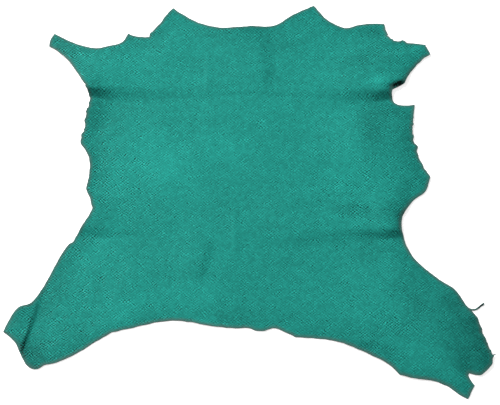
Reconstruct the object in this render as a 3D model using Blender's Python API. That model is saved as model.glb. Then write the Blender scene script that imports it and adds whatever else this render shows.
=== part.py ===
"""A whole dyed goat skin lying flat, grain side up. The neck is towards +Y and the hind shanks towards -Y.

The skin is one closed sheet. Its cut edge is a chain of smooth stretches that meet at sharp corners.
It lies flat on z = 0, except where folds left from storage, curled corners and broad swells stand up.
"""

import math
from itertools import pairwise

import bpy
import numpy as np
from mathutils import Vector, noise
from mathutils.geometry import delaunay_2d_cdt

MM = 0.001

HIDE_WIDTH = 848  # mm, over the hind shanks with their torn strands
HIDE_LENGTH = 907  # mm, from the neck's right peak to the right hind shank's tip
THICKNESS = 1.2  # mm, square to the surface

EDGE_STEP = 8.0  # mm between points along the cut edge
FOLD_STEP = 8.5  # mm between surface points where the skin bends
EVEN_EVERY = 4  # elsewhere only every fourth surface point is kept, along and across
EDGE_MARGIN = 4.5  # mm between the cut edge and the nearest surface point
BEND_PROBE = 17.0  # mm, how far to each side a bend is measured
LEAST_BEND = 0.3  # mm, how far the skin leaves a straight line where it counts as bent
TOOTH_LENGTH = 13.0  # mm, how far apart a ragged stretch's teeth are
TOOTH_GAIN = 2.0  # the noise behind the teeth seldom passes half of its full size
SLOPE_PROBE = 1.0  # mm, how far to each side a slope is measured
SHARP_ANGLE = 50  # degrees, what shows as an edge and not as a bend
MERGE = 1e-6  # mm, closer points are one
NEAREST = 1e-6  # mm, keeps a division from failing on a crest
INSIDE_ONLY = 1  # the triangulation keeps what lies inside the edge

TEAL = (0.026, 0.305, 0.247, 1.0)

# The cut edge, clockwise as seen from above: for each stretch, how ragged the cut is, in mm, and its
# points, x and y in mm from the middle of the skin. A stretch runs smoothly through its points to the
# first point of the next one, where the edge turns sharply.
EDGE = {
    "left fore shank, front": (
        0.3,
        [(-401, 373), (-375, 356), (-345, 340), (-312, 331), (-287, 338), (-264, 346)],
    ),
    "left shoulder tooth": (0.0, [(-255, 358)]),
    "left shoulder": (0.5, [(-249, 374), (-233, 366), (-218, 364)]),
    "left shoulder step": (0.0, [(-205, 364)]),
    "neck, left side": (0.8, [(-204, 373), (-184, 402), (-172, 426)]),
    "neck, front": (
        0.6,
        [(-158, 446), (-118, 412), (-85, 394), (-50, 385), (4, 389), (50, 394), (72, 408), (89, 424)],
    ),
    "neck, right side": (0.6, [(138, 453), (164, 413), (177, 402), (203, 389), (230, 398), (255, 401)]),
    "right shoulder": (0.8, [(283, 400), (290, 363), (306, 349)]),
    "right shoulder knob": (0.4, [(318, 353), (326, 346), (344, 343)]),
    "right fore shank, end": (0.3, [(363, 340)]),
    "right fore shank, back": (0.8, [(371, 314), (348, 294), (326, 264)]),
    "side notch, curled lip": (0.3, [(312, 237)]),
    "side notch": (0.2, [(287, 222), (285, 209), (289, 187), (304, 180)]),
    "right flank": (0.4, [(329, 182), (322, 139), (318, 103), (320, 90)]),
    "right flank, torn": (1.6, [(326, 77), (324, 66), (329, 39)]),
    "right flank point": (
        0.4,
        [(344, 6), (340, -10), (330, -31), (310, -47), (297, -64), (285, -85), (281, -108)],
    ),
    "right thigh": (0.3, [(286, -150), (302, -184), (339, -222), (366, -243), (383, -275)]),
    "upper strand, top": (0.0, [(388, -280), (397, -281), (408, -273)]),
    "upper strand, tip": (0.0, [(415, -268), (414, -274)]),
    "upper strand, underside": (0.0, [(410, -276), (398, -284)]),
    "right hind shank, outer side": (0.8, [(390, -284), (399, -299), (405, -327), (411, -350)]),
    "lower strand": (0.0, [(417, -372)]),
    "lower strand, underside": (0.0, [(424, -370)]),
    "right hind shank, heel": (0.4, [(417, -378), (415, -389), (405, -401)]),
    "heel cut, upper side": (0.0, [(393, -410), (383, -409), (374, -406)]),
    "heel cut, lower side": (0.2, [(372, -410), (375, -419)]),
    "right hind shank, end": (0.3, [(381, -429)]),
    "right hind shank, inner side": (
        0.5,
        [(367, -454), (351, -444), (336, -431), (313, -421), (281, -416)],
    ),
    "rump, right": (0.6, [(256, -409), (237, -389), (195, -364), (147, -344), (108, -339)]),
    "rump, middle": (0.8, [(82, -337), (59, -325), (43, -320), (21, -326)]),
    "rump, left": (
        0.6,
        [(4, -320), (-55, -317), (-99, -308), (-125, -305), (-154, -307), (-209, -321)],
    ),
    "left hind shank, inner side": (0.6, [(-236, -328), (-265, -348), (-295, -370), (-327, -386)]),
    "left hind shank, heel": (
        0.3,
        [(-346, -391), (-362, -399), (-377, -390), (-389, -370), (-403, -345)],
    ),
    "left hind shank, flap": (0.3, [(-424, -327), (-415, -303), (-402, -281)]),
    "left hind shank, outer side": (
        0.4,
        [(-389, -275), (-379, -268), (-361, -231), (-350, -201), (-329, -150)],
    ),
    "left thigh": (0.5, [(-319, -141), (-307, -112), (-294, -85)]),
    "left flank": (0.7, [(-289, -68), (-296, -44), (-304, -22), (-302, 6), (-302, 35), (-308, 58)]),
    "left flank, torn": (
        1.6,
        [(-323, 83), (-325, 99), (-321, 113), (-319, 130), (-319, 148), (-316, 176)],
    ),
    "left shoulder, back": (0.5, [(-314, 192), (-321, 214), (-340, 250), (-366, 295), (-388, 321)]),
    "left fore shank, end": (0.0, [(-409, 337), (-408, 357)]),
}

# The folds that stand up. Each has the stations of its crest, and each station has x, y, the height and
# how far the slope reaches to the left and to the right when walking along the crest, in mm.
FOLDS = {
    "fore fold": [
        (-335, 219, 12.0, 150, 22),
        (-300, 220, 11.0, 150, 24),
        (-266, 225, 8.5, 150, 38),
        (-216, 226, 4.6, 120, 40),
        (-150, 221, 1.8, 80, 26),
        (0, 218, 1.1, 40, 12),
        (120, 216, 1.3, 60, 18),
        (170, 220, 3.4, 120, 34),
        (205, 224, 6.6, 150, 42),
        (228, 222, 9.0, 170, 38),
        (252, 216, 11.5, 180, 29),
        (278, 219, 13.5, 190, 27),
        (306, 225, 14.5, 200, 29),
    ],
    "hind fold": [
        (-320, -100, 5.0, 110, 28),
        (-280, -110, 4.2, 110, 25),
        (-240, -112, 1.6, 90, 26),
        (-190, -114, 0.5, 60, 20),
        (-20, -116, 0.6, 60, 28),
        (40, -117, 2.4, 120, 40),
        (66, -117, 3.2, 140, 46),
        (120, -114, 3.0, 140, 40),
        (170, -111, 4.4, 150, 34),
        (205, -110, 5.8, 160, 32),
        (223, -112, 6.8, 170, 27),
        (250, -117, 10.4, 180, 23),
        (290, -112, 14.0, 190, 25),
    ],
    "neck fold": [
        (-4, 404, 8.0, 62, 130),
        (6, 360, 3.8, 50, 130),
        (22, 302, 2.8, 36, 130),
        (24, 253, 2.2, 28, 110),
        (20, 216, 0.6, 22, 60),
    ],
    "left flank curl": [
        (-328, 228, 3.4, 50, 30),
        (-324, 180, 6.6, 64, 30),
        (-322, 145, 5.0, 56, 30),
        (-322, 105, 2.0, 34, 30),
        (-312, 50, 1.4, 30, 26),
        (-302, 0, 0.6, 24, 24),
    ],
    "left shank flap": [
        (-404, -268, 3.0, 44, 34),
        (-424, -318, 6.5, 52, 40),
        (-408, -356, 4.0, 40, 20),
    ],
    "left shank crease": [
        (-368, -244, 0.5, 6, 50),
        (-374, -290, 1.8, 6, 60),
        (-381, -326, 2.8, 6, 60),
        (-388, -351, 3.8, 6, 60),
        (-395, -378, 5.0, 8, 50),
    ],
    "left hind tip curl": [
        (-352, -404, 4.0, 26, 20),
        (-372, -396, 5.0, 26, 20),
        (-388, -378, 3.0, 20, 20),
    ],
    "side notch curl": [
        (272, 236, 2.0, 26, 20),
        (300, 236, 5.0, 26, 22),
        (336, 262, 2.0, 24, 20),
    ],
}

# The broad swells. Each is an oval: x and y of its middle, its height, half its length, half its width
# and the way it points, in degrees from +x.
SWELLS = {
    "right thigh": (385, -290, 18.0, 290, 250, -55),
    "right flank": (262, 84, 11.0, 130, 190, 90),
}

# Where the cut edge comes down to the ground: ovals in the same form, whose height is the share of the
# rise taken off at the edge. Last comes the distance in mm over which that share falls off inwards.
TUCKS = {
    "right thigh": (400, -290, 1.0, 340, 220, -58, 32),
    "right hind shank, inner side": (330, -440, 1.4, 230, 130, -26, 36),
    "right fore shank": (335, 280, 1.0, 130, 110, 50, 32),
    "right flank": (350, 84, 1.0, 150, 140, 90, 32),
    "right flank point": (318, -34, 1.1, 130, 90, 62, 32),
    "side notch lip": (295, 224, 1.3, 44, 26, 35, 3),
    "hind fold's right end": (281, -104, 1.3, 56, 26, 85, 3.5),
    "left hind shank, end": (-385, -395, 1.4, 120, 90, -50, 26),
    "left hind shank, flap": (-424, -335, 1.1, 70, 70, 0, 26),
}


def clear_scene():
    for item in list(bpy.data.objects):
        bpy.data.objects.remove(item, do_unlink=True)


def eased(share):
    """0 to 1 for a share of 0 to 1, starting and ending level."""
    return share * share * (3 - 2 * share)


def smooth_run(knots, step):
    """Points about one step apart along a smooth curve through the knots, from the first to the last."""
    spans = [(b - a).length for a, b in pairwise(knots)]
    headings = [
        (knots[i + 1] - knots[i - 1]) / (spans[i - 1] + spans[i]) for i in range(1, len(knots) - 1)
    ]
    if headings:
        first = 1.5 * (knots[1] - knots[0]) / spans[0] - 0.5 * headings[0]
        last = 1.5 * (knots[-1] - knots[-2]) / spans[-1] - 0.5 * headings[-1]
    else:
        first = last = (knots[1] - knots[0]) / spans[0]
    headings = [first, *headings, last]
    run = []
    for i, span in enumerate(spans):
        count = max(1, round(span / step))
        for k in range(count):
            t = k / count
            straight = knots[i].lerp(knots[i + 1], eased(t))
            bow = t * (1 - t) * ((1 - t) * headings[i] - t * headings[i + 1])
            run.append(straight + span * bow)
    return [*run, knots[-1]]


def roughened(run, ragged):
    """The run with every point between its ends moved sideways by the teeth of a ragged cut."""
    rough = [run[0]]
    for before, here, after in zip(run, run[1:], run[2:]):
        along = (after - before).normalized()
        tooth = noise.noise(Vector((here.x, here.y, 0.0)) / TOOTH_LENGTH)
        rough.append(here + TOOTH_GAIN * ragged * tooth * Vector((along.y, -along.x)))
    return rough


def edge_outline():
    """The cut edge as a closed loop of points in mm, centred, with the driving width and length."""
    stretches = [(ragged, [Vector(p) for p in points]) for ragged, points in EDGE.values()]
    loop = []
    for (ragged, knots), (_, following) in zip(stretches, stretches[1:] + stretches[:1]):
        loop += roughened(smooth_run([*knots, following[0]], EDGE_STEP), ragged)
    low = Vector((min(p.x for p in loop), min(p.y for p in loop)))
    high = Vector((max(p.x for p in loop), max(p.y for p in loop)))
    middle, size = (low + high) / 2, high - low
    wider, longer = HIDE_WIDTH / size.x, HIDE_LENGTH / size.y
    return [Vector(((p.x - middle.x) * wider, (p.y - middle.y) * longer)) for p in loop]


def smooth_between(at, values, place):
    """The values at these places, on a smooth curve through the values at the stations."""
    slopes = np.gradient(values, at)
    i = np.clip(np.searchsorted(at, place) - 1, 0, len(at) - 2)
    span = at[i + 1] - at[i]
    t = (place - at[i]) / span
    straight = values[i] + eased(t) * (values[i + 1] - values[i])
    return straight + span * t * (1 - t) * ((1 - t) * slopes[i] - t * slopes[i + 1])


def fold_rise(stations, x, y):
    """How high one fold lifts the points: in full on its crest, and not at all at the slope's reach."""
    crest = np.array(stations, dtype=float)
    start = crest[0, :2]
    ahead = crest[-1, :2] - start
    ahead /= np.hypot(*ahead)
    aside = np.array([-ahead[1], ahead[0]])
    at, bends = (crest[:, :2] - start) @ ahead, (crest[:, :2] - start) @ aside
    points = np.column_stack([x, y]) - start
    along = points @ ahead
    place = np.clip(along, at[0], at[-1])
    bend, height, left, right = (smooth_between(at, values, place) for values in (bends, *crest.T[2:]))
    across = points @ aside - bend
    away = np.hypot(across, along - place)
    leftward = 0.5 + 0.5 * across / np.maximum(away, NEAREST)
    off = away / (right + leftward * (left - right))
    return 0.5 * height * (1 + np.cos(np.pi * np.minimum(1, off)))


def oval(x, y, middle_x, middle_y, height, half_length, half_width, heading):
    """A swell that has its height in the middle and ends at its rim."""
    turn = math.radians(heading)
    dx, dy = x - middle_x, y - middle_y
    along = (dx * math.cos(turn) + dy * math.sin(turn)) / half_length
    across = (dy * math.cos(turn) - dx * math.sin(turn)) / half_width
    return 0.5 * height * (1 + np.cos(np.pi * np.minimum(1, np.hypot(along, across))))


def rise(x, y, inset):
    """How high the flesh side lies above the ground, in mm. Inset is the distance to the cut edge."""
    height = sum(fold_rise(stations, x, y) for stations in FOLDS.values())
    height += sum(oval(x, y, *swell) for swell in SWELLS.values())
    for *place, reach in TUCKS.values():
        height *= 1 - np.minimum(1, oval(x, y, *place)) * np.exp(-inset / reach)
    return np.maximum(0, height)


def skin_height(x, y, inset):
    """How high the grain side lies above the flesh side, so that a slope is as thick as the flat."""
    along = rise(x + SLOPE_PROBE, y, inset) - rise(x - SLOPE_PROBE, y, inset)
    across = rise(x, y + SLOPE_PROBE, inset) - rise(x, y - SLOPE_PROBE, inset)
    return THICKNESS * np.sqrt(1 + (along**2 + across**2) / (2 * SLOPE_PROBE) ** 2)


def bend(x, y, inset):
    """How far the skin leaves the straight lines from one side of each point to the other, in mm."""
    here = rise(x, y, inset)
    along = rise(x + BEND_PROBE, y, inset) + rise(x - BEND_PROBE, y, inset)
    across = rise(x, y + BEND_PROBE, inset) + rise(x, y - BEND_PROBE, inset)
    return np.maximum(abs(along / 2 - here), abs(across / 2 - here))


def clearance(loop, x, y):
    """Distance from the point to the cut edge, negative outside the skin."""
    inside, least = False, math.inf
    for a, b in zip(loop, loop[1:] + loop[:1]):
        if (a.y > y) != (b.y > y) and x < a.x + (y - a.y) * (b.x - a.x) / (b.y - a.y):
            inside = not inside
        ab = b - a
        share = min(1.0, max(0.0, ((x - a.x) * ab.x + (y - a.y) * ab.y) / ab.length_squared))
        least = min(least, math.hypot(x - a.x - share * ab.x, y - a.y - share * ab.y))
    return least if inside else -least


def surface_points(loop):
    """Points inside the edge: close together where the skin bends, and far apart where it lies even."""
    columns = math.ceil(HIDE_WIDTH / 2 / FOLD_STEP)
    rows = math.ceil(HIDE_LENGTH / 2 / FOLD_STEP)
    points, insets, sparse = [], [], []
    for row in range(-rows, rows + 1):
        for column in range(-columns, columns + 1):
            x, y = (column + 0.5 * (row % 2)) * FOLD_STEP, row * FOLD_STEP
            inset = clearance(loop, x, y)
            if inset > EDGE_MARGIN:
                points.append(Vector((x, y)))
                insets.append(inset)
                sparse.append(row % EVEN_EVERY == 0 and column % EVEN_EVERY == 0)
    bent = bend(*np.array(points).T, np.array(insets)) > LEAST_BEND
    return [point for point, kept in zip(points, bent | sparse) if kept]


def sheet_mesh(name, loop, inner):
    """One closed sheet: flesh side below, grain side above, and the cut edge as a band between them."""
    ring = list(range(len(loop)))
    rim = list(zip(ring, ring[1:] + ring[:1]))
    flat, _, triangles, *_ = delaunay_2d_cdt(loop + inner, rim, [ring], INSIDE_ONLY, MERGE)
    x, y = np.array(flat).T
    inset = np.array([clearance(loop, *point) for point in flat])
    below = rise(x, y, inset)
    above = below + skin_height(x, y, inset)
    places = np.vstack([np.column_stack([x, y, below]), np.column_stack([x, y, above])])
    count = len(flat)
    faces = []
    for a, b, c in triangles:
        turn = (flat[b] - flat[a]).cross(flat[c] - flat[a])
        a, b, c = (a, b, c) if turn > 0 else (a, c, b)
        faces.append((a + count, b + count, c + count))
        faces.append((c, b, a))
    faces += [(a + count, b + count, b, a) for a, b in rim]
    mesh = bpy.data.meshes.new(name)
    mesh.from_pydata((MM * places).tolist(), [], faces)
    mesh.shade_smooth()
    mesh.set_sharp_from_angle(angle=math.radians(SHARP_ANGLE))
    return mesh


def leather():
    material = bpy.data.materials.new("teal leather")
    material.use_nodes = True
    shader = material.node_tree.nodes["Principled BSDF"]
    shader.inputs["Base Color"].default_value = TEAL
    shader.inputs["Roughness"].default_value = 0.55
    shader.inputs["Metallic"].default_value = 0.0
    return material


def build_hide():
    loop = edge_outline()
    mesh = sheet_mesh("hide", loop, surface_points(loop))
    mesh.materials.append(leather())
    hide = bpy.data.objects.new("hide", mesh)
    bpy.context.scene.collection.objects.link(hide)


clear_scene()
build_hide()
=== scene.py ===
"""A whole teal goat skin, lying grain side up on a pale floor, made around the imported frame.

The sheet takes its cut edge from the frame's hide. Its folds are the hide's own, with the finer creases and
waves of leather that was stored folded. Its three materials are the embossed grain, the bare flesh side and
the cut edge between them.
"""

import math
from functools import reduce
from itertools import pairwise

import bpy
import numpy as np
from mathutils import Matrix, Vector, kdtree, noise
from mathutils.geometry import delaunay_2d_cdt


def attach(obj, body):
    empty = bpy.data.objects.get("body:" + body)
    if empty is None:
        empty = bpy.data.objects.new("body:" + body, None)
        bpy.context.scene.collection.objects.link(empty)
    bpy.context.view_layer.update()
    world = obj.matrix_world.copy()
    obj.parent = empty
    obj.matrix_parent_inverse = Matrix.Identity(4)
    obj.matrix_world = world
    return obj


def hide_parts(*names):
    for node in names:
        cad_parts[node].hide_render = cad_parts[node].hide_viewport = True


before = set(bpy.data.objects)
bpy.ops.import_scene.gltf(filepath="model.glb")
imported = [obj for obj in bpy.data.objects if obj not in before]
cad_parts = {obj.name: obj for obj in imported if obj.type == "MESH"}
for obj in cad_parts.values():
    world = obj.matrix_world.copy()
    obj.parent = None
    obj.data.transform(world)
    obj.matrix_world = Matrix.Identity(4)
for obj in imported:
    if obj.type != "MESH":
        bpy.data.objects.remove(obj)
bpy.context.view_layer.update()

MM = 0.001

# The view: the camera looks down at this slant on the point of the floor in the middle of the picture.
CAMERA_ELEVATION = 55.0  # degrees
CAMERA_DISTANCE = 2.2  # m
CAMERA_LENS = 85.0  # mm on a sensor 36 mm wide
CAMERA_NEAR = 0.05  # m, what is nearer isn't shown
LOOKS_AT = Vector((0.0032, -0.0525, 0.0))  # m

# The studio, in m: an even sky, one broad lamp that points at the middle of the skin, and a floor that glows
# like a table lit softly from below.
SKY_STRENGTH = 0.48
LAMP_PLACE = Vector((-4.6, 5.2, 3.9))
LAMP_SIZE = 2.6
LAMP_POWER = 1080  # W
FLOOR_HALF = 6.0  # from its middle to each side
FLOOR_DROP = 0.0002  # how far it lies below the skin, so that the two don't share a plane
FLOOR_GLOW = 0.5
FLOOR_COLOUR = (0.9, 0.9, 0.9, 1)
FLOOR_ROUGHNESS = 0.9
FLOOR_SHINE = 0.1
WHITE = (1, 1, 1, 1)

# The sheet, in mm
THICKNESS = 1.2
SHAVED = 0.3  # how far the cut edge is rounded off
GRAIN_STEP = 2.7  # between points of the grain side
FLESH_STEP = 9.0  # between points of the flesh side
EDGE_STEP = 1.5  # between points along the cut edge
CLEAR = 0.62  # of a step, how far the points inside stay away from the edge
CORNER_TURN = 42.0  # degrees, where the edge turns more sharply it keeps its corner
TIP_TURN = 100.0  # degrees, where the edge turns more sharply it is too thin a tip to be rounded off
TIP_REACH = 2  # how many points of the edge on each side of a thin tip belong to it
SLIP = 0.35  # how far the knife's small slips move the edge
SLIP_LENGTH = 6.0
FRAY_LENGTH = 5.0
FRAY_LAYER = 50.0  # where in the noise the frays lie, away from the slips
SEED = 8  # of the slips and frays
WAVE = 1.1  # how high the leather's slow waves lift it
WAVE_LENGTH = 105.0
WAVE_FORM = (0.8, 2.2, 2)  # how much weaker and shorter the finer waves are, and how many sizes there are
WAVE_LIFT = 0.25  # of a wave, so that few of them would sink below the floor
SHARP_ANGLE = 34  # degrees, what shows as an edge and not as a bend

# What the geometry is worked out with
ROW_STEP = math.sqrt(0.75)  # of a step, between two rows of a triangular grid
DOWNWARD = -0.3  # the slope of a face's normal below which it belongs to the underside
DECIMALS = 2  # of a mm, to which two corners at the same point agree
INSIDE_ONLY = 1  # the triangulation keeps what lies inside the edge
MERGE = 1e-6  # points of the triangulation that are nearer than this are one
NEAREST = 1e-6  # keeps a division from failing on a crest

# The folds that stand up. Each has the stations of its crest, and each station has x, y, the height and the
# slope's reach to the left and to the right when walking along the crest, in mm.
FOLDS = {
    "fore fold": [
        (-335, 219, 12.0, 150, 22),
        (-300, 220, 11.0, 150, 24),
        (-266, 225, 8.5, 150, 38),
        (-216, 226, 4.6, 120, 40),
        (-150, 221, 1.8, 80, 26),
        (0, 218, 1.1, 40, 12),
        (120, 216, 1.3, 60, 18),
        (170, 220, 3.4, 120, 34),
        (205, 224, 6.6, 150, 42),
        (228, 222, 9.0, 170, 38),
        (252, 216, 11.5, 180, 29),
        (278, 219, 13.5, 190, 27),
        (306, 225, 14.5, 200, 29),
    ],
    "hind fold": [
        (-320, -100, 5.0, 110, 28),
        (-280, -110, 4.2, 110, 25),
        (-240, -112, 1.6, 90, 26),
        (-190, -114, 0.5, 60, 20),
        (-20, -116, 0.6, 60, 28),
        (40, -117, 2.4, 120, 40),
        (66, -117, 3.2, 140, 46),
        (120, -114, 3.0, 140, 40),
        (170, -111, 4.4, 150, 34),
        (205, -110, 5.8, 160, 32),
        (223, -112, 6.8, 170, 27),
        (250, -117, 10.4, 180, 23),
        (290, -112, 14.0, 190, 25),
    ],
    "neck fold": [
        (-4, 404, 8.0, 62, 130),
        (6, 360, 3.8, 50, 130),
        (22, 302, 2.8, 36, 130),
        (24, 253, 2.2, 28, 110),
        (20, 216, 0.6, 22, 60),
    ],
    "left flank curl": [
        (-328, 228, 3.4, 50, 30),
        (-324, 180, 6.6, 64, 30),
        (-322, 145, 5.0, 56, 30),
        (-322, 105, 2.0, 34, 30),
        (-312, 50, 1.4, 30, 26),
        (-302, 0, 0.6, 24, 24),
    ],
    "left shank flap": [
        (-404, -268, 3.0, 44, 34),
        (-424, -318, 6.5, 52, 40),
        (-408, -356, 4.0, 40, 20),
    ],
    "left shank crease": [
        (-368, -244, 0.5, 6, 50),
        (-374, -290, 1.8, 6, 60),
        (-381, -326, 2.8, 6, 60),
        (-388, -351, 3.8, 6, 60),
        (-395, -378, 5.0, 8, 50),
    ],
    "left hind tip curl": [
        (-352, -404, 4.0, 26, 20),
        (-372, -396, 5.0, 26, 20),
        (-388, -378, 3.0, 20, 20),
    ],
    "side notch curl": [
        (272, 236, 2.0, 26, 20),
        (300, 236, 5.0, 26, 22),
        (336, 262, 2.0, 24, 20),
    ],
}

# The finer creases, told in the same way.
CREASES = {
    "neck line": [(-84, 312, 0.2, 12, 8), (-82, 262, 0.5, 12, 8), (-80, 215, 0.2, 10, 8)],
    "rump ridge": [
        (-70, -128, 0.3, 18, 70),
        (-80, -160, 1.6, 20, 80),
        (-88, -196, 2.0, 20, 80),
        (-94, -224, 0.3, 18, 60),
    ],
    "backbone": [(-27, -70, 0.2, 10, 5), (-26, -130, 0.5, 12, 6), (-25, -186, 0.2, 10, 5)],
    "thigh line": [(170, -338, 0.2, 14, 10), (225, -352, 1.2, 16, 10), (268, -362, 0.3, 14, 10)],
}

# The broad swells. Each is an oval: x and y of its middle, its height, half its length, half its width, and
# the way it points in degrees from +x.
SWELLS = {
    "right thigh": (385, -290, 18.0, 290, 250, -55),
    "right flank": (262, 84, 11.0, 130, 190, 90),
}

# Where the cut edge comes down to the floor: ovals in the same form, whose height is the share of the rise
# that is taken off at the edge. No more than all of it can be, so a height above 1 only widens the part that
# lies flat. Last comes the distance in mm over which that share falls off away from the edge.
TUCKS = {
    "right thigh": (400, -290, 1.0, 340, 220, -58, 32),
    "right hind shank, inner side": (330, -440, 1.4, 230, 130, -26, 36),
    "right fore shank": (335, 280, 1.0, 130, 110, 50, 32),
    "right flank": (350, 84, 1.0, 150, 140, 90, 32),
    "right flank point": (318, -34, 1.1, 130, 90, 62, 32),
    "side notch lip": (295, 224, 1.3, 44, 26, 35, 3),
    "hind fold's right end": (281, -104, 1.3, 56, 26, 85, 3.5),
    "left hind shank, end": (-385, -395, 1.4, 120, 90, -50, 26),
    "left hind shank, flap": (-424, -335, 1.1, 70, 70, 0, 26),
}

# Where the cut edge is frayed: ovals in the same form, whose height says how far the fray can move the edge.
FRAYS = {
    "left flank": (-320, 165, 6.0, 120, 60, 90),
    "right flank": (327, 112, 12.0, 66, 50, 90),
    "right shoulder": (304, 362, 7.0, 56, 44, -40),
    "right hind shank": (405, -330, 5.0, 70, 50, -80),
}

# Ovals that lighten or darken the dye: partly its uneven tone, partly painted light and shade for how the
# slopes, folds and creases are lit. They are in the same form, and their height is the change of tone.
DYE_PATCHES_AND_PAINTED_LIGHT = {
    "right leg": (370, -325, -0.10, 180, 90, -60),
    "right leg, middle": (268, -318, -0.07, 60, 40, 0),
    "right thigh": (285, -262, -0.10, 90, 50, -60),
    "right hind shank, end": (345, -400, 0.04, 60, 40, -40),
    "right fore shank": (325, 288, 0.10, 60, 34, 50),
    "right fore shank, root": (266, 236, 0.14, 40, 20, 0),
    "right leg, inner side": (300, -390, 0.09, 80, 50, -20),
    "upper strand": (408, -275, -0.4, 18, 10, 20),
    "lower strand": (424, -369, -0.4, 9, 7, 20),
    "right flank": (345, 120, -0.02, 130, 100, 90),
    "right flank, inner side": (240, 126, -0.14, 110, 50, 90),
    "right middle": (185, 30, 0.05, 90, 60, 80),
    "right side, near the notch": (284, 156, -0.09, 44, 30, 0),
    "right shoulder": (238, 300, -0.10, 100, 80, 10),
    "right hip": (262, -70, -0.03, 80, 50, 60),
    "right flank point": (312, -40, 0.09, 44, 30, 60),
    "right hip, inner side": (198, -74, -0.12, 70, 28, 0),
    "right thigh, upper side": (220, -158, -0.09, 70, 45, 90),
    "neck line": (38, 300, -0.03, 130, 26, 95),
    "left shoulder": (-385, 330, -0.07, 110, 60, -40),
    "left flank": (-315, 170, -0.03, 60, 50, 90),
    "left side": (-250, 145, -0.03, 60, 50, 90),
    "left side, middle": (-250, 10, 0.06, 80, 50, 90),
    "left side, edge": (-302, -42, -0.08, 40, 22, 90),
    "left middle": (-165, 40, 0.09, 150, 90, -55),
    "left thigh": (-280, -165, 0.06, 110, 70, 60),
    # painted shade along the left shank's crease, in this line and the next
    "left shank crease": (-379, -318, -0.20, 64, 5, 80),
    "left shank crease, end": (-387, -358, -0.25, 34, 6, 78),
    # painted shadow: the near black gap under the notch's lifted lip
    "side notch lip": (299, 232.5, -0.95, 22, 4.8, 29),
    "left heel": (-385, -375, -0.14, 60, 50, 0),
    "rump, left": (-110, -262, 0.07, 110, 60, 10),
    "rump, far left": (-224, -294, 0.09, 90, 50, 30),
    "rump, near edge": (-20, -324, 0.09, 90, 26, 0),
    "rump, near edge, left": (-78, -310, 0.17, 38, 22, 5),
    "rump, near edge, right": (70, -322, 0.09, 48, 22, 0),
    "rump ridge": (-82, -180, -0.05, 60, 26, 80),
    "rump": (70, -180, -0.02, 90, 60, 0),
    "back": (60, -60, -0.03, 120, 40, 0),
    "back, fold": (40, -106, -0.07, 50, 20, 0),
    "shoulders": (-55, 80, 0.07, 100, 60, 0),
    "neck, right": (70, 345, -0.06, 70, 45, 0),
    "neck, far right": (250, 374, -0.09, 44, 30, 0),
}

# Where the grain is embossed deeper or less deep: ovals in the same form, whose height is the share by which
# it is deeper.
DEPTHS = {
    "left flank": (-258, 0, 0.55, 120, 110, 90),
    "left shoulder": (-352, 318, 0.35, 70, 60, 0),
    "left thigh": (-215, -150, -0.3, 100, 44, 0),
    "neck's right peak": (130, 405, 0.4, 60, 44, 0),
    "neck, middle": (-40, 318, -0.25, 70, 56, 0),
    "back, left": (-105, 70, 0.45, 50, 50, 0),
    "back, middle": (0, 0, -0.25, 80, 50, 0),
    "back, rear": (0, -150, -0.25, 90, 44, 0),
    "right hip": (178, -40, 0.45, 130, 100, 90),
    "right thigh": (230, -315, 0.5, 140, 120, -20),
}

# Painted warm shadow, tinted by the flesh side, under the notch's lifted lip: ovals in the same form, whose
# height says how much of it is painted.
PAINTED_LIP_SHADOW = {
    "side notch lip": (301, 227.5, 1.0, 20, 4.5, 31),
}


def eased(share):
    """The share from 0 to 1, with a gentle start and end."""
    return share * share * (3 - 2 * share)


def hump(height, off):
    """A smooth slope from the full height where off is 0 down to nothing where it is 1."""
    return 0.5 * height * (1 + np.cos(np.pi * np.minimum(1, off)))


def oval(x, y, middle_x, middle_y, height, half_length, half_width, heading):
    """A swell that has its height in the middle and ends at its rim."""
    turn = math.radians(heading)
    dx, dy = x - middle_x, y - middle_y
    along = (dx * math.cos(turn) + dy * math.sin(turn)) / half_length
    across = (dy * math.cos(turn) - dx * math.sin(turn)) / half_width
    return hump(height, np.hypot(along, across))


def ovals(table, points):
    """The sum of a table's ovals at these points."""
    return sum(oval(*points.T, *row) for row in table.values())


# The cut edge


def frame_edge(node):
    """The lower rim of the frame's hide, as a closed loop of points in mm, anticlockwise from above."""
    places = np.array([node.matrix_world @ v.co for v in node.data.vertices]) / MM
    rounded = np.round(places, DECIMALS)
    _, first, same = np.unique(rounded, axis=0, return_index=True, return_inverse=True)
    same, places = same.reshape(-1), places[first]
    after = {}
    for face in node.data.polygons:
        if face.normal.z < DOWNWARD:
            corners = [int(same[v]) for v in face.vertices]
            for start, end in zip(corners, corners[1:] + corners[:1]):
                after.setdefault(start, set()).add(end)
    rim = {start: end for start, ends in after.items() for end in ends if start not in after[end]}
    loop = [min(rim)]
    while (here := rim[loop[-1]]) != loop[0]:
        loop.append(here)
    return places[loop[::-1], :2]


def turns(loop):
    """How sharply the loop turns at each point, in degrees."""
    into, out = loop - np.roll(loop, 1, 0), np.roll(loop, -1, 0) - loop
    cross = into[:, 0] * out[:, 1] - into[:, 1] * out[:, 0]
    return np.degrees(np.abs(np.arctan2(cross, (into * out).sum(1))))


def curve_between(before, a, b, beyond, t):
    """The point at the share t of the way from a to b, on a Catmull-Rom curve through all four points."""
    bend = 2 * a + t * (b - before) + t * t * (2 * before - 5 * a + 4 * b - beyond)
    return 0.5 * (bend + t**3 * (3 * a - before - 3 * b + beyond))


def smoothed(loop):
    """The same loop in short steps, smooth but for its corners."""
    corner = turns(loop) > CORNER_TURN
    edge, count = [], len(loop)
    for i in range(count):
        j = (i + 1) % count
        a, b = loop[i], loop[j]
        before = a if corner[i] else loop[i - 1]
        beyond = b if corner[j] else loop[(j + 1) % count]
        steps = max(1, round(float(np.linalg.norm(b - a)) / EDGE_STEP))
        edge += [curve_between(before, a, b, beyond, t) for t in np.arange(steps) / steps]
    return np.array(edge)


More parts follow.
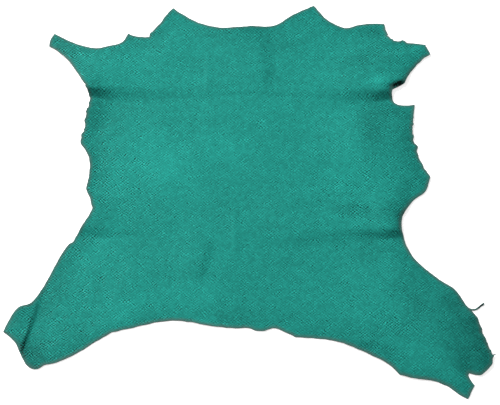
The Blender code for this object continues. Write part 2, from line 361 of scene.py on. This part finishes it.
def ragged(edge):
    """The edge with the small slips of the knife all round, and with its frays."""
    noise.seed_set(SEED)
    slips = np.array([noise.noise_vector(Vector((x, y, 0)) / SLIP_LENGTH)[:2] for x, y in edge])
    frays = np.array([noise.noise_vector(Vector((x, y, FRAY_LAYER)) / FRAY_LENGTH)[:2] for x, y in edge])
    return edge + SLIP * slips + ovals(FRAYS, edge)[:, None] * frays * abs(frays)


def outward(loop):
    """Unit vectors out of the loop at its points."""
    along = np.roll(loop, -1, 0) - np.roll(loop, 1, 0)
    along /= np.linalg.norm(along, axis=1, keepdims=True)
    return np.stack([along[:, 1], -along[:, 0]], 1)


def shaved(loop):
    """The rim of both sides: the cut edge, moved in as far as it is rounded off, but not at thin tips."""
    tips = turns(loop) > TIP_TURN
    near = sum(np.roll(tips, shift) for shift in range(-TIP_REACH, TIP_REACH + 1)) > 0
    return loop - np.where(near, 0.0, SHAVED)[:, None] * outward(loop)


# The height of the sheet


def smooth_between(at, values, place):
    """The values at these places, on a smooth curve through the values at the stations."""
    slopes = np.gradient(values, at)
    i = np.clip(np.searchsorted(at, place) - 1, 0, len(at) - 2)
    span = at[i + 1] - at[i]
    t = (place - at[i]) / span
    straight = values[i] + eased(t) * (values[i + 1] - values[i])
    return straight + span * t * (1 - t) * ((1 - t) * slopes[i] - t * slopes[i + 1])


def fold_rise(stations, x, y):
    """How high one fold lifts the points: its full height on the crest, nothing at the slope's reach."""
    crest = np.array(stations, dtype=float)
    start = crest[0, :2]
    ahead = crest[-1, :2] - start
    ahead /= np.hypot(*ahead)
    aside = np.array([-ahead[1], ahead[0]])
    at, bends = (crest[:, :2] - start) @ ahead, (crest[:, :2] - start) @ aside
    points = np.column_stack([x, y]) - start
    along = points @ ahead
    place = np.clip(along, at[0], at[-1])
    bend, height, left, right = (smooth_between(at, values, place) for values in (bends, *crest.T[2:]))
    across = points @ aside - bend
    away = np.hypot(across, along - place)
    # 1 to the left of the crest and 0 to its right, with a smooth change round its ends
    leftward = 0.5 + 0.5 * across / np.maximum(away, NEAREST)
    return hump(height, away / (right + leftward * (left - right)))


def rise(points, inset):
    """How high the flesh side lies above the floor, in mm. Inset is each point's distance to the edge."""
    x, y = points.T
    height = sum(fold_rise(stations, x, y) for stations in [*FOLDS.values(), *CREASES.values()])
    height += ovals(SWELLS, points)
    for *place, reach in TUCKS.values():
        height *= 1 - np.minimum(1, oval(x, y, *place)) * np.exp(-inset / reach)
    waves = np.array([noise.fractal(Vector((x, y, 0)) / WAVE_LENGTH, *WAVE_FORM) for x, y in points])
    return np.maximum(0, height + WAVE * (waves + WAVE_LIFT))


def tree_of(loop):
    """The loop's points, kept so that the nearest is found quickly."""
    tree = kdtree.KDTree(len(loop))
    for i, (x, y) in enumerate(loop):
        tree.insert((x, y, 0), i)
    tree.balance()
    return tree


def insets(points, tree):
    """The distance of each point to the edge."""
    return np.array([tree.find((x, y, 0))[2] for x, y in points])


def risen(points, tree):
    """Points of the flat sheet at their height above the floor."""
    return np.column_stack([points, rise(points, insets(points, tree))])


# The mesh


def inner_points(loop, step):
    """Points of a triangular grid inside the loop, a little away from it."""
    tree = tree_of(loop)
    ends = np.roll(loop, -1, 0)
    points, row_step = [], step * ROW_STEP
    rows = range(math.ceil(loop[:, 1].min() / row_step), math.ceil(loop[:, 1].max() / row_step))
    for row in rows:
        y = row * row_step
        crossed = (loop[:, 1] > y) != (ends[:, 1] > y)
        a, b = loop[crossed], ends[crossed]
        crossings = np.sort(a[:, 0] + (y - a[:, 1]) * (b - a)[:, 0] / (b - a)[:, 1])
        for start, end in crossings.reshape(-1, 2):
            shift = 0.5 * (row % 2)
            for column in range(math.ceil(start / step - shift), math.ceil(end / step - shift)):
                x = (column + shift) * step
                if tree.find((x, y, 0))[2] > CLEAR * step:
                    points.append((x, y))
    return np.array(points)


def triangulated(loop, inner):
    """The points of a flat sheet with this rim, and its triangles, anticlockwise from above."""
    ring = list(range(len(loop)))
    rim = list(zip(ring, ring[1:] + ring[:1]))
    points = [Vector(p) for p in (*loop, *inner)]
    flat, _, triangles, *_ = delaunay_2d_cdt(points, rim, [ring], INSIDE_ONLY, MERGE)
    flat, triangles = np.array(flat), np.array(triangles)
    a, b, c = (flat[triangles[:, k]] for k in range(3))
    turned = (b - a)[:, 0] * (c - a)[:, 1] < (b - a)[:, 1] * (c - a)[:, 0]
    triangles[turned] = triangles[turned][:, ::-1]
    return flat, triangles


def normals(places, triangles):
    """The mean normal of the triangles round each point."""
    a, b, c = (places[triangles[:, k]] for k in range(3))
    across = np.cross(b - a, c - a)
    total = np.zeros_like(places)
    for k in range(3):
        np.add.at(total, triangles[:, k], across)
    return total / np.linalg.norm(total, axis=1, keepdims=True)


def band(top, bottom, count):
    """The faces between two rings of points, told where each ring starts."""
    here = np.arange(count)
    after = np.roll(here, -1)
    return np.column_stack([top + here, bottom + here, bottom + after, top + after])


def closed_sheet(edge, tree):
    """The points of the sheet, and its faces in three parts: the grain side, the cut edge, the flesh side."""
    count, rim = len(edge), shaved(edge)
    grain, grain_faces = triangulated(rim, inner_points(rim, GRAIN_STEP))
    flesh, flesh_faces = triangulated(rim, inner_points(rim, FLESH_STEP))
    base = risen(grain, tree)
    up = normals(base, grain_faces)
    side = risen(edge, tree)
    layers = [
        base + THICKNESS * up,  # the grain side, which starts with its rim
        side + (THICKNESS - SHAVED) * up[:count],  # the upper ring of the cut edge
        side + SHAVED * up[:count],  # its lower ring
        risen(flesh, tree),  # the flesh side, which starts with its rim too
    ]
    starts = np.cumsum([0] + [len(layer) for layer in layers[:-1]])
    cut_faces = np.vstack([band(top, bottom, count) for top, bottom in pairwise(starts)])
    return np.vstack(layers), [grain_faces, cut_faces, flesh_faces[:, ::-1] + starts[-1]]


def build_sheet(name):
    """The hide, with its three materials and with the marks that they read at each point."""
    edge = ragged(smoothed(frame_edge(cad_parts["hide"])))
    tree = tree_of(edge)
    places, parts = closed_sheet(edge, tree)
    mesh = bpy.data.meshes.new(name)
    mesh.from_pydata((MM * places).tolist(), [], [face for faces in parts for face in faces.tolist()])
    for material in (grain_leather(), cut_leather(), flesh_leather()):
        mesh.materials.append(material)
    material_of = np.repeat(range(len(parts)), [len(faces) for faces in parts])
    mesh.polygons.foreach_set("material_index", material_of.astype(np.int32))

    flat = places[:, :2]
    marks = {
        "inset": insets(flat, tree),
        # patches of uneven dye, and painted light and shade
        "tone_and_painted_light": ovals(DYE_PATCHES_AND_PAINTED_LIGHT, flat),
        "depth": ovals(DEPTHS, flat),
        # painted warm shadow under the notch's lifted lip
        "bare": ovals(PAINTED_LIP_SHADOW, flat),
    }
    for mark, values in marks.items():
        attribute = mesh.attributes.new(mark, "FLOAT", "POINT")
        attribute.data.foreach_set("value", values.astype(np.float32))

    mesh.shade_smooth()
    mesh.set_sharp_from_angle(angle=math.radians(SHARP_ANGLE))
    sheet = bpy.data.objects.new(name, mesh)
    bpy.context.scene.collection.objects.link(sheet)
    return sheet


# Materials


class Look:
    """A material, with short ways to add its nodes."""

    def __init__(self, name):
        self.material = bpy.data.materials.new(name)
        self.material.use_nodes = True
        self.tree = self.material.node_tree
        self.shader = self.tree.nodes["Principled BSDF"]
        metres = self.node("ShaderNodeTexCoord").outputs["Object"]
        self.place = self.vector("SCALE", metres, Scale=1 / MM)

    def node(self, kind, *values, **named):
        """A new node. Values go into its first sockets, and the named ones into sockets or settings."""
        made = self.tree.nodes.new(kind)
        sockets = {}
        for key, value in named.items():
            if key in made.inputs.keys():
                sockets[key] = value
            else:
                setattr(made, key, value)
        for key, value in [*enumerate(values), *sockets.items()]:
            self.put(made.inputs[key], value)
        return made

    def put(self, socket, value):
        """Joins another node's output to the socket, or sets the socket to a plain value."""
        if isinstance(value, bpy.types.NodeSocket):
            self.tree.links.new(value, socket)
        else:
            socket.default_value = value

    def vector(self, operation, *values, output="Vector", **named):
        """The result of one step of arithmetic with vectors."""
        return self.node("ShaderNodeVectorMath", *values, **named, operation=operation).outputs[output]

    def math(self, operation, *values):
        """The result of one step of arithmetic with numbers."""
        return self.node("ShaderNodeMath", *values, operation=operation).outputs[0]

    def total(self, *values):
        return reduce(lambda first, second: self.math("ADD", first, second), values)

    def product(self, *values):
        return reduce(lambda first, second: self.math("MULTIPLY", first, second), values)

    def spread(self, value, low, high, to_low=0.0, to_high=1.0, form="SMOOTHSTEP"):
        """The value's range from low to high, eased into another range."""
        ranges = (low, high, to_low, to_high)
        return self.node("ShaderNodeMapRange", value, *ranges, interpolation_type=form).outputs[0]

    def lumps(self, place, size, detail, rough=0.5):
        """A noise node that is told the place and the size of its lumps in mm."""
        return self.node("ShaderNodeTexNoise", place, Scale=1 / size, Detail=detail, Roughness=rough)

    def cloud(self, size, detail, rough=0.5, shift=0.0):
        """Soft noise from 0 to 1 with lumps of this size in mm. The shift sets it apart from other noise."""
        moved = self.vector("ADD", self.place, (shift, 2 * shift, 0))
        return self.lumps(moved, size, detail, rough).outputs[0]

    def shaken(self, place, size, reach):
        """The place moved a little by noise, so that what is laid out by it is uneven."""
        way = self.vector("SUBTRACT", self.lumps(place, size, 1).outputs["Color"], (0.5, 0.5, 0.5))
        return self.vector("ADD", place, self.vector("SCALE", way, Scale=reach))

    def chance(self, first, second, shift=0.0):
        """A chance value from 0 to 1 of its own for each pair of whole numbers."""
        cell = self.node("ShaderNodeCombineXYZ", first, second, shift).outputs[0]
        return self.node("ShaderNodeTexWhiteNoise", cell, noise_dimensions="3D").outputs["Value"]

    def mark(self, name):
        """What the mesh says about each of its points under this name."""
        return self.node("ShaderNodeAttribute", attribute_name=name).outputs["Fac"]

    def blend(self, share, first, second):
        """The first colour, with this share of the second one mixed in."""
        made = self.node("ShaderNodeMix", data_type="RGBA")
        for key, value in (("Factor_Float", share), ("A_Color", first), ("B_Color", second)):
            self.put(next(s for s in made.inputs if s.identifier == key), value)
        return next(s for s in made.outputs if s.identifier == "Result_Color")

    def finish(self, colour, rough, height, shine, sheen=0.0):
        """Joins the colour, the roughness and a relief in mm to the shader, with a shine and a sheen."""
        relief = self.node("ShaderNodeBump", Height=height, Distance=MM).outputs[0]
        for socket, value in (
            ("Base Color", colour),
            ("Roughness", rough),
            ("Normal", relief),
            ("Specular IOR Level", shine),
            ("Sheen Weight", sheen),
        ):
            self.put(self.shader.inputs[socket], value)
        return self.material


# In the values below, sizes are in mm and colours are linear. A range has four numbers: while something goes
# from the first to the second, what is made of it goes from the third to the fourth, or from 0 to 1.

# The embossed grain: two families of fine grooves cross each other, so the scales between them are diamonds.
# Each side of a scale is pressed in by its own amount.
GROOVES_ALONG = 0.152  # grooves in each mm along x
GROOVES_ACROSS = 0.157  # grooves in each mm along y
GROWTH = 0.00023  # how much coarser the grain is for each mm nearer to the neck
BENDS = (26, 6.0)  # the size of the grooves' long bends, and how far they reach
KINKS = (6, 4.8)  # the same for their short ones
GROOVE_FORM = (0.01, 0.42, 1.0, 0.0)  # from its bottom to its rim, in shares of the distance between grooves
GROOVE_MEAN = 0.47  # what is taken off the depth, so that the grain darkens no more than it lightens
SIDE_DEPTHS = (0.0, 1.0, 0.3, 1.3)  # by chance, for each side of a scale
SIDE_PATCH = 14  # where one family is pressed harder than the other
SIDE_PATCH_DEPTHS = (0.32, 0.68, 0.6, 1.3)
SIDE_SHIFTS = (40.0, 170.0)  # set the chances of the two families apart

# How deep the grain is pressed in, in shares
PATCH = 15  # where both families are pressed harder
PATCH_DEPTHS = (0.32, 0.68, 0.35, 1.45)
LEFT_DEPTHS = (-290.0, -60.0, 1.25, 0.88)  # along x, from the left flank to the back
RIGHT_SIDE = (80.0, 330.0)  # along x, from the back to the right flank
RIGHT_DEPTHS = (-330.0, -60.0, -0.2, 0.22)  # along y, what the right side adds, from the thigh to the hip
LONG_DEPTHS = (-420.0, 380.0, 0.9, 0.78)  # along y, from the hind shanks to the neck

# The tone of the dye with its painted light and shade, from -0.46 where it is deepest to 0.47
TONES = (-0.46, 0.47, 0.0, 1.0)
DEEP_TEAL = (0.0002, 0.008, 0.0066, 1)
PALE_TEAL = (0.024, 0.425, 0.351, 1)
MOTTLE = 24
MOTTLE_TONES = (0.3, 0.7, -0.016, 0.016)
SLOW_MOTTLE = 110
SLOW_TONES = (0.3, 0.7, -0.012, 0.012)
PIT = 2.3
PIT_TONES = (0.25, 0.75, -0.045, 0.045)
SCALE_TONES = (0.0, 1.0, -0.045, 0.045)  # by chance, for each scale
# Dye that gathers in the grooves, and painted shade there, with painted light on the scales between them
GROOVE_DYE_AND_SHADE_TONE = -0.29  # of a groove of full depth
RIM_TONES = (0.0, 60.0, -0.08, 0.0)  # from the edge inwards
GRAIN_ROUGHNESS = (-0.4, 0.3, 0.52, 0.38)  # from deep to pale dye
GRAIN_SHINE = 0.03

# A thin dark rim along the edge, uneven and not where the tone is darkest: painted shade of the gap under the
# edge, with the dark look of the cut edge. Then the painted warm shadow under the notch's lifted lip
DARK_RIM_AND_SHADE = (0.055, 0.12, 0.105, 1)
RIM_SHADE_INSET = (0.0, 8.5, 1.0, 0.0)
RIM_SHADE_MOTTLE = (0.35, 0.65, 0.65, 0.95)
RIM_SHADE_SKIP = (-0.4, -0.15, 0.0, 1.0)
LIP_SHADOW_BROWN = (0.13, 0.1, 0.095, 1)
LIP_SHADOW_RANGE = (0.2, 0.7)

# The relief of the grain, in mm
GROOVE_RELIEF = -0.18
SCALE_RELIEF = 0.03
PORE = 0.9
PORE_RELIEF = 0.02


def groove_counts(look, x, y):
    """How many grooves of each family there are between the origin and a place."""
    finer = look.math("ADD", look.math("MULTIPLY", y, -GROWTH), 1.0)
    grown = look.node("ShaderNodeCombineXYZ", look.product(x, finer), look.product(y, finer)).outputs[0]
    place = look.shaken(look.shaken(grown, *BENDS), *KINKS)
    ways = [(along, GROOVES_ACROSS, 0) for along in (GROOVES_ALONG, -GROOVES_ALONG)]
    return [look.vector("DOT_PRODUCT", place, way, output="Value") for way in ways]


def pressing(look, x, y):
    """How hard the grain is pressed in at a place."""
    right = look.product(look.spread(x, *RIGHT_SIDE), look.spread(y, *RIGHT_DEPTHS))
    return look.product(
        look.total(look.spread(x, *LEFT_DEPTHS), right),
        look.spread(y, *LONG_DEPTHS),
        look.total(look.mark("depth"), 1.0),
        look.spread(look.cloud(PATCH, 1, shift=90.0), *PATCH_DEPTHS),
    )


def pressed_grooves(look, counts, whole, strength):
    """How deep the grooves are at a place, and how much dye and painted shade darken it: less than nothing
    between them, where it paints light on the scales.
    """
    nearest = [look.math("ROUND", count) for count in counts]
    sides = ((nearest[0], whole[1]), (whole[0], nearest[1]))
    grooves, shades = [], []
    for count, side, shift in zip(counts, sides, SIDE_SHIFTS):
        groove = look.spread(look.math("PINGPONG", count, 0.5), *GROOVE_FORM)
        pressed = look.spread(look.chance(*side, shift), *SIDE_DEPTHS)
        patch = look.spread(look.cloud(SIDE_PATCH, 1, shift=shift), *SIDE_PATCH_DEPTHS)
        depth = look.product(pressed, patch, strength)
        grooves.append(look.product(groove, depth))
        shades.append(look.product(look.math("SUBTRACT", groove, GROOVE_MEAN), depth))
    return look.math("MAXIMUM", *grooves), look.total(*shades)


def grain_leather():
    """The embossed side: teal dye, darker in the grooves with dye and painted shade, lighter on the scales
    with painted light, in patches of uneven dye and of painted light and shade, darker towards the edge,
    with a dark rim of painted shade and with painted shadow at the notch's lip.
    """
    look = Look("grain_leather")
    x, y, _ = look.node("ShaderNodeSeparateXYZ", look.place).outputs
    counts = groove_counts(look, x, y)
    whole = [look.math("FLOOR", count) for count in counts]
    groove, shade = pressed_grooves(look, counts, whole, pressing(look, x, y))

    scale = look.chance(*whole)
    mottle = look.cloud(MOTTLE, 2, shift=300.0)
    # the second mark holds patches of uneven dye and painted light and shade
    inset, tone_and_painted_light = look.mark("inset"), look.mark("tone_and_painted_light")
    tone = look.total(
        look.spread(mottle, *MOTTLE_TONES),
        look.spread(look.cloud(SLOW_MOTTLE, 2, shift=500.0), *SLOW_TONES),
        look.spread(scale, *SCALE_TONES),
        look.spread(look.cloud(PIT, 1, shift=220.0), *PIT_TONES),
        look.product(shade, GROOVE_DYE_AND_SHADE_TONE),
        tone_and_painted_light,
        look.spread(inset, *RIM_TONES),
    )
    teal = look.blend(look.spread(tone, *TONES, form="LINEAR"), DEEP_TEAL, PALE_TEAL)
    # a dark rim along the edge: painted shade of the gap under it, with the dark look of the cut edge
    dark_rim_and_shade = look.product(
        look.spread(inset, *RIM_SHADE_INSET), look.spread(mottle, *RIM_SHADE_MOTTLE), look.spread(tone_and_painted_light, *RIM_SHADE_SKIP)
    )
    # painted warm shadow under the notch's lifted lip
    lip_shadow_share = look.spread(look.mark("bare"), *LIP_SHADOW_RANGE)
    colour = look.blend(lip_shadow_share, look.blend(dark_rim_and_shade, teal, DARK_RIM_AND_SHADE), LIP_SHADOW_BROWN)

    height = look.total(
        look.product(groove, GROOVE_RELIEF),
        look.product(scale, SCALE_RELIEF),
        look.product(look.cloud(PORE, 2), PORE_RELIEF),
    )
    return look.finish(colour, look.spread(tone, *GRAIN_ROUGHNESS), height, GRAIN_SHINE)


# The flesh side
NAP = 1.6
# painted shade: the nap's hollows, where its relief is lowest, are darker
NAP_SHADE_SHARES = (0.25, 0.75, 0.45, 0.0)  # of the hollows' tan, from a hollow of the nap upwards
NAP_RELIEF = 0.3  # mm
LUMP = 40
LUMP_SHARES = (0.3, 0.7)
LUMP_RELIEF = 1.2  # mm
DEEP_TAN = (0.36, 0.235, 0.165, 1)
PALE_TAN = (0.52, 0.375, 0.285, 1)
HOLLOW_SHADE_TAN = (0.25, 0.15, 0.11, 1)
RUN = 9
RUN_REACHES = (0.2, 0.8, -4.0, 6.0)  # mm, by which the dye's reach over the rim varies
RUN_SHARES = (1.0, 7.0, 0.75, 0.0)  # from the edge inwards
RUN_TEAL = (0.03, 0.16, 0.14, 1)
FLESH_ROUGHNESS = 0.92
FLESH_SHINE = 0.1
FLESH_SHEEN = 0.25


def flesh_leather():
    """The bare side: a pale tan nap with slow mottling and painted shade in its hollows, and teal dye that
    ran over the rim.
    """
    look = Look("flesh_leather")
    nap = look.cloud(NAP, 4, 0.65)
    lumps = look.cloud(LUMP, 3, 0.55, shift=80.0)
    tan = look.blend(look.spread(lumps, *LUMP_SHARES), DEEP_TAN, PALE_TAN)
    tan = look.blend(look.spread(nap, *NAP_SHADE_SHARES), tan, HOLLOW_SHADE_TAN)
    inset = look.total(look.mark("inset"), look.spread(look.cloud(RUN, 3, shift=33.0), *RUN_REACHES))
    colour = look.blend(look.spread(inset, *RUN_SHARES), tan, RUN_TEAL)
    height = look.total(look.product(nap, NAP_RELIEF), look.product(lumps, LUMP_RELIEF))
    return look.finish(colour, FLESH_ROUGHNESS, height, FLESH_SHINE, FLESH_SHEEN)


# The cut edge
FIBRE = 0.7
# painted shade: the gaps between the fibres, where the relief is lowest, are near black
FIBRE_SHADE_SHARES = (0.3, 0.7, 0.5, 0.0)  # of the gaps' colour, from a gap between fibres upwards
FIBRE_RELIEF = 0.2  # mm
CUT_STAIN = 18
CUT_STAIN_SHARES = (0.35, 0.65)
CUT_BROWN = (0.05, 0.036, 0.026, 1)
CUT_TEAL = (0.014, 0.045, 0.04, 1)
GAP_SHADE_BLACK = (0.01, 0.01, 0.008, 1)
CUT_ROUGHNESS = 0.88
CUT_SHINE = 0.15


def cut_leather():
    """The cut edge: bare brown fibres that the dye has darkened, with painted shade in the gaps between them.
    """
    look = Look("cut_leather")
    fibres = look.cloud(FIBRE, 3, 0.6)
    stained = look.spread(look.cloud(CUT_STAIN, 2, shift=60.0), *CUT_STAIN_SHARES)
    colour = look.blend(stained, CUT_BROWN, CUT_TEAL)
    colour = look.blend(look.spread(fibres, *FIBRE_SHADE_SHARES), colour, GAP_SHADE_BLACK)
    return look.finish(colour, CUT_ROUGHNESS, look.product(fibres, FIBRE_RELIEF), CUT_SHINE)


# The studio


def build_camera():
    data = bpy.data.cameras.new("camera")
    data.lens = CAMERA_LENS
    data.clip_start = CAMERA_NEAR
    camera = bpy.data.objects.new("camera", data)
    slant = math.radians(CAMERA_ELEVATION)
    camera.location = LOOKS_AT + CAMERA_DISTANCE * Vector((0, -math.cos(slant), math.sin(slant)))
    camera.rotation_euler = (math.pi / 2 - slant, 0, 0)
    bpy.context.scene.collection.objects.link(camera)
    bpy.context.scene.camera = camera


def build_lamp():
    data = bpy.data.lights.new("key", "AREA")
    data.shape = "DISK"
    data.size = LAMP_SIZE
    data.energy = LAMP_POWER
    lamp = bpy.data.objects.new("key", data)
    lamp.location = LAMP_PLACE
    lamp.rotation_euler = (-LAMP_PLACE).to_track_quat("-Z", "Y").to_euler()
    bpy.context.scene.collection.objects.link(lamp)


def build_floor():
    mesh = bpy.data.meshes.new("floor")
    sides = ((-1, -1), (1, -1), (1, 1), (-1, 1))
    mesh.from_pydata([(FLOOR_HALF * x, FLOOR_HALF * y, -FLOOR_DROP) for x, y in sides], [], [(0, 1, 2, 3)])
    look = Look("floor")
    look.put(look.shader.inputs["Base Color"], FLOOR_COLOUR)
    look.put(look.shader.inputs["Roughness"], FLOOR_ROUGHNESS)
    look.put(look.shader.inputs["Specular IOR Level"], FLOOR_SHINE)
    look.put(look.shader.inputs["Emission Color"], WHITE)
    look.put(look.shader.inputs["Emission Strength"], FLOOR_GLOW)
    mesh.materials.append(look.material)
    floor = bpy.data.objects.new("floor", mesh)
    bpy.context.scene.collection.objects.link(floor)


def build_studio():
    scene = bpy.context.scene
    scene.view_settings.view_transform = "Standard"
    scene.world = bpy.data.worlds.new("studio")
    scene.world.use_nodes = True
    sky = scene.world.node_tree.nodes["Background"]
    sky.inputs["Color"].default_value = WHITE
    sky.inputs["Strength"].default_value = SKY_STRENGTH
    build_lamp()
    build_floor()
    build_camera()


build_studio()
leather = build_sheet("hide_leather")
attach(leather, "root")
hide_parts("hide")
